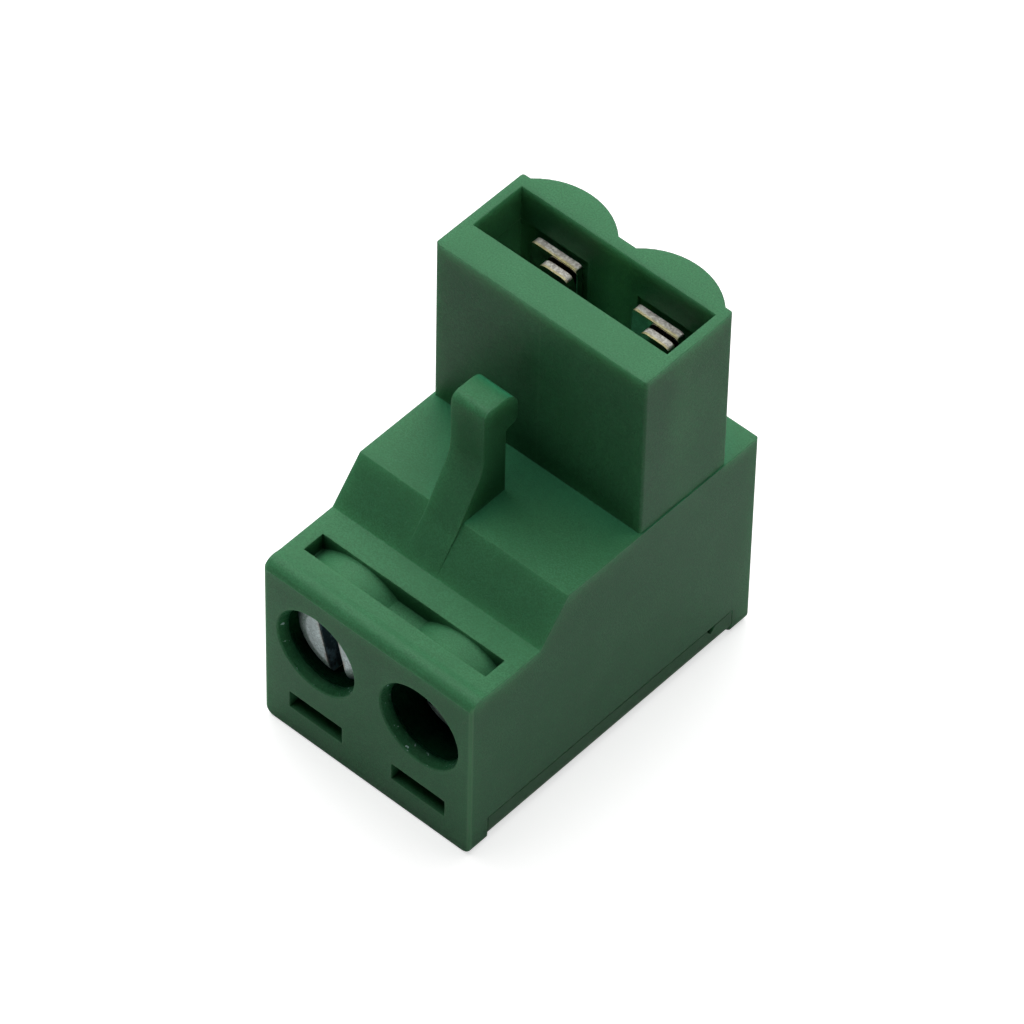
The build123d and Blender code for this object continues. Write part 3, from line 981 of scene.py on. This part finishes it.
def zinc_colour(tree, places, speckle, rim, sawn, on_face):
    """Blue-white zinc with its dull patches, pits and worn slot edges, a painted reflection on the rim, and
    painted shade and sheen in the slot.
    """
    dull = patches(tree, places, 1.8, low=0.4, high=0.72, detail=4.0, roughness=0.65)
    ragged = patches(tree, places, 6.0, low=0.35, high=0.60, detail=3.0, roughness=0.7)
    sheen = patches(tree, places, 2.0, low=0.45, high=0.65, detail=4.0, roughness=0.7)
    worn = times(tree, on_face, ragged, outer_edges(tree, SLOT_EDGE_WIDTH), SLOT_EDGE_STRENGTH)
    colour = blend_colours(tree, dull, ZINC, ZINC_DULL)
    # Painted reflection of the green well on the rim.
    colour = blend_colours(tree, rim, colour, RIM_PAINTED_REFLECTION)
    colour = blend_colours(tree, mask_between(tree, speckle, low=0.62, high=0.38), colour, ZINC_PIT)
    colour = blend_colours(tree, worn, colour, SLOT_EDGE)
    # Painted shade with patches of painted sheen in the slot.
    return blend_colours(tree, sawn, colour, blend_colours(tree, sheen, SLOT_PAINTED_SHADE, SLOT_PAINTED_SHEEN))


def zinc_relief(tree, places, speckle, on_face):
    """The normal, with fine scratches all over and pits on the flat face."""
    scratches = noise(tree, places, 5.0, detail=4.0, roughness=0.7)
    normal = bump(tree, scratches, SCRATCH_HEIGHT, rounded_edges(tree, ZINC_ROUNDING))
    return bump(tree, times(tree, speckle, on_face), PIT_HEIGHT, normal)


def zinc_plate(name, face):
    """Zinc plate for the screw whose head starts at that depth: rough face, smooth rim with a painted reflection,
    slot with painted shade.
    """
    made, tree, shader = new_material(name)
    places = places_in_mm(tree)
    speckle = noise(tree, places, 14.0, detail=3.0, roughness=0.7)
    rim, sawn, on_face = head_finishes(tree, split(tree, places), face)
    sockets = {
        "Base Color": zinc_colour(tree, places, speckle, rim, sawn, on_face),
        "Roughness": blend(tree, on_face, TURNED_ROUGHNESS, spread(tree, speckle, *FACE_ROUGHNESS)),
        "Normal": zinc_relief(tree, places, speckle, on_face),
        "Metallic": 1.0,
    }
    fill(tree, shader, sockets)
    return made


for side, piece in clamp_screws.items():
    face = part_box(f"clamp_screw_{side}")[0].y
    screw_zinc = zinc_plate(f"screw_zinc_{side}", face)
    give(piece, screw_zinc)
    print("screw", screw_zinc.name, "face at", round((face - screw_face) / MM, 2), "mm")

# %% [markdown]
# Inside each cage the screw runs in a tapped hole. The thread of the hole is one ridge that winds along
# the grooves of the screw, with a little play on both flanks, so it stays clear while the screw turns
# and the cage rises. It is swept as a loop of four corners that moves one pitch on for each turn.

# %% Thread of the cage
RIDGE_TIP = 1.02 * MM
RIDGE_BASE = 1.31 * MM
RIDGE_TIP_FLAT = 0.055 * MM
FLANK_ANGLE = radians(30)
THREAD_WALL = 1.3 * MM
RIDGE_MARGIN = 0.25 * MM


def ridge_corners():
    """The four corners of the ridge's section, as (radius, distance along the axis from its middle)."""
    tip = RIDGE_TIP_FLAT / 2
    base = tip + (RIDGE_BASE - RIDGE_TIP) * tan(FLANK_ANGLE)
    return [(RIDGE_BASE, -base), (RIDGE_TIP, -tip), (RIDGE_TIP, tip), (RIDGE_BASE, base)]


def ridge_surface(axis, first, start, end):
    """A helical ridge in step with a thread that starts at first, from start to end."""
    surface = bmesh.new()
    corners = ridge_corners()
    from_step = round((start - first) / THREAD_PITCH * SEGMENTS)
    to_step = round((end - first) / THREAD_PITCH * SEGMENTS)
    loops = []
    for step in range(from_step, to_step + 1):
        middle = first + step / SEGMENTS * THREAD_PITCH
        points = [around(axis, radius, middle + along, turn_of(step)) for radius, along in corners]
        loops.append([surface.verts.new(point) for point in points])
    for before, after in zip(loops, loops[1:]):
        for number in range(len(corners)):
            following = (number + 1) % len(corners)
            surface.faces.new((before[number], before[following], after[following], after[number]))
    surface.faces.new(loops[0])
    surface.faces.new(loops[-1])
    bmesh.ops.recalc_face_normals(surface, faces=surface.faces)
    return surface


for side in POLES:
    stem_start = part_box(f"clamp_screw_{side}")[0].y + HEAD_HEIGHT
    wall_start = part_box(f"clamp_cage_{side}")[0].y
    wall_end = wall_start + THREAD_WALL
    surface = ridge_surface(screw_axis[side], stem_start, wall_start + RIDGE_MARGIN, wall_end - RIDGE_MARGIN)
    ridge = add_piece(f"cage_thread_{side}", surface)
    give(ridge, cage_steel)
    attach(ridge, f"cage_{side}")
    print(ridge.name, len(ridge.data.polygons), "faces")

# %% [markdown]
# The plug stands on a plain white table. The floor is a real white surface that takes the shadow of the
# plug. It has a little light of its own, seen by the camera and, more weakly, by shiny and clear surfaces,
# which lifts it towards the white of the photograph without shining on the plug. It lies a hair below the
# plug, because two faces in the same plane would flicker.

# %% Floor
TABLE_RADIUS = 70 * MM
TABLE_SEGMENTS = 128
FLOOR_GAP = 0.02 * MM
FLOOR_WHITE = 0.70
FLOOR_ROUGHNESS = 0.9
FLOOR_LIFT = 0.68
MIRRORED_SHARE = 0.4
PAPER_WHITE = (1, 1, 1, 1)


def seen_directly(tree):
    """1 for what the camera sees, less for what a mirror or glass sees, 0 for light on other things."""
    path = add_node(tree, "LightPath").outputs
    mirrored = larger(tree, path["Is Glossy Ray"], path["Is Transmission Ray"])
    return larger(tree, path["Is Camera Ray"], times(tree, mirrored, MIRRORED_SHARE))


def white_table(name):
    """A matt white that looks nearly as bright as paper to the camera."""
    made, tree, shader = new_material(name)
    sockets = {
        "Base Color": (FLOOR_WHITE, FLOOR_WHITE, FLOOR_WHITE, 1),
        "Roughness": FLOOR_ROUGHNESS,
        "Specular IOR Level": 0.0,
        "Emission Color": PAPER_WHITE,
        "Emission Strength": times(tree, seen_directly(tree), FLOOR_LIFT),
    }
    fill(tree, shader, sockets)
    return made


floor_surface = bmesh.new()
bmesh.ops.create_circle(floor_surface, cap_ends=True, segments=TABLE_SEGMENTS, radius=TABLE_RADIUS)
floor = add_piece("floor", floor_surface)
floor.location.z = housing_low.z - FLOOR_GAP
give(floor, white_table("white_table"))
print("floor at", round(floor.location.z / MM, 3), "mm")

# %% [markdown]
# The photograph was lit by one large white screen overhead, a little to the left and behind: the ledges
# are the brightest faces, and the sides get their light from the white table. Beyond the table the studio
# is dark, which keeps the front of the shell dark at its foot. So the world gives no fill light: it is
# white to the camera, and in reflections it shows with the same share as the floor.

# %% Lamp and world
LAMP_SIZE = 0.44
LAMP_POWER = 1.73
LAMP_PLACE = (-0.090, 0.088, 0.302)
LAMP_TARGET = (0, 0, 0.008)


def add_lamp(name, place, target, size, power):
    """A square lamp at place that faces target."""
    data = bpy.data.lights.new(name, "AREA")
    data.size = size
    data.energy = power
    lamp = bpy.data.objects.new(name, data)
    lamp.location = place
    lamp.rotation_euler = (Vector(place) - Vector(target)).to_track_quat("Z", "Y").to_euler()
    bpy.context.scene.collection.objects.link(lamp)


add_lamp("screen", LAMP_PLACE, LAMP_TARGET, LAMP_SIZE, LAMP_POWER)
world = bpy.data.worlds.new("studio")
world.use_nodes = True
bpy.context.scene.world = world
sky = world.node_tree.nodes["Background"]
fill(world.node_tree, sky, {"Strength": seen_directly(world.node_tree), "Color": PAPER_WHITE})
